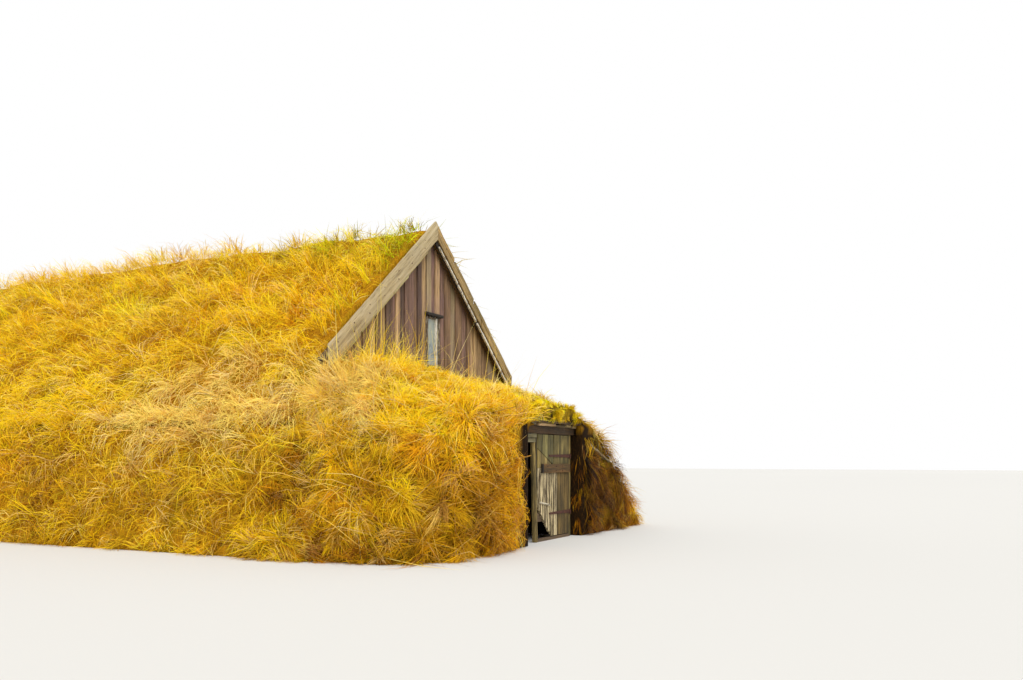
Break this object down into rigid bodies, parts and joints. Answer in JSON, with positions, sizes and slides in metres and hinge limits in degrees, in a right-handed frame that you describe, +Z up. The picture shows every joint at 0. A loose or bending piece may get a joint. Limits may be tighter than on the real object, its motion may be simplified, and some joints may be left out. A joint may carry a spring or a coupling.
{
  "type": "turf house",
  "caption": "Turf-covered house with a weathered plank gable, bargeboards and narrow window, and a low turf porch with a hinged plank door under a timber lintel",
  "frame": {"origin": "on the ground, in the middle of the length and width", "axes": "+Z up, the door and the plank gable face -Y, +X is to the right when looking at the front"},
  "size_m": [7.2, 15, 4.5215],
  "materials": {
    "turf": "dry straw-coloured grass on matted turf",
    "footing_stone": "rough dark basalt",
    "frame_timber": "rough old timber, unpainted",
    "roof_boarding": "sawn boards, unpainted",
    "weathered_planks": "weathered upright planks, grey-brown",
    "bargeboard_wood": "weathered pale taupe board",
    "painted_wood": "flaking white paint",
    "window_pane": "old glass, dull",
    "dark_wood": "damp dark brown timber",
    "door_wood": "weathered, with traces of pale paint",
    "rusty_iron": "rusted wrought iron"
  },
  "bodies": {
    "house": {"left_side_wall": "turf", "right_side_wall": "turf", "back_wall": "turf", "front_left_wall": "turf", "front_right_wall": "turf", "left_roof_turf": "turf", "right_roof_turf": "turf", "porch_roof_turf": "turf", "left_stone_footing": "footing_stone", "right_stone_footing": "footing_stone", "left_wall_plate": "frame_timber", "right_wall_plate": "frame_timber", "left_posts": "frame_timber", "right_posts": "frame_timber", "left_rafters": "frame_timber", "right_rafters": "frame_timber", "tie_beams": "frame_timber", "king_posts": "frame_timber", "ridge_beam": "frame_timber", "gable_sill_beam": "frame_timber", "window_studs": "frame_timber", "left_roof_boards": "roof_boarding", "right_roof_boards": "roof_boarding", "porch_roof_boards": "roof_boarding", "gable_planks": "weathered_planks", "left_bargeboard": "bargeboard_wood", "right_bargeboard": "bargeboard_wood", "left_verge_board": "bargeboard_wood", "right_verge_board": "bargeboard_wood", "window_frame": "painted_wood", "window_glass": "window_pane", "window_head_board": "dark_wood", "left_door_jamb": "door_wood", "right_door_jamb": "door_wood", "door_sill": "dark_wood", "lintel": "dark_wood", "lintel_board": "door_wood", "lintel_packing": "door_wood", "porch_edge_board": "dark_wood", "door_pintles": "rusty_iron"},
    "front_door": {"door_boards": "door_wood", "door_outer_ledge": "dark_wood", "door_inner_ledges": "dark_wood", "door_straps": "rusty_iron", "door_latch": "door_wood"}
  },
  "joints": [
    {"name": "front_door_hinge", "type": "hinge", "parent": "house", "child": "front_door", "pos_m": [0.578, -7.359, 0], "axis": [0, 0, 1], "range_deg": [0, 95]}
  ]
}
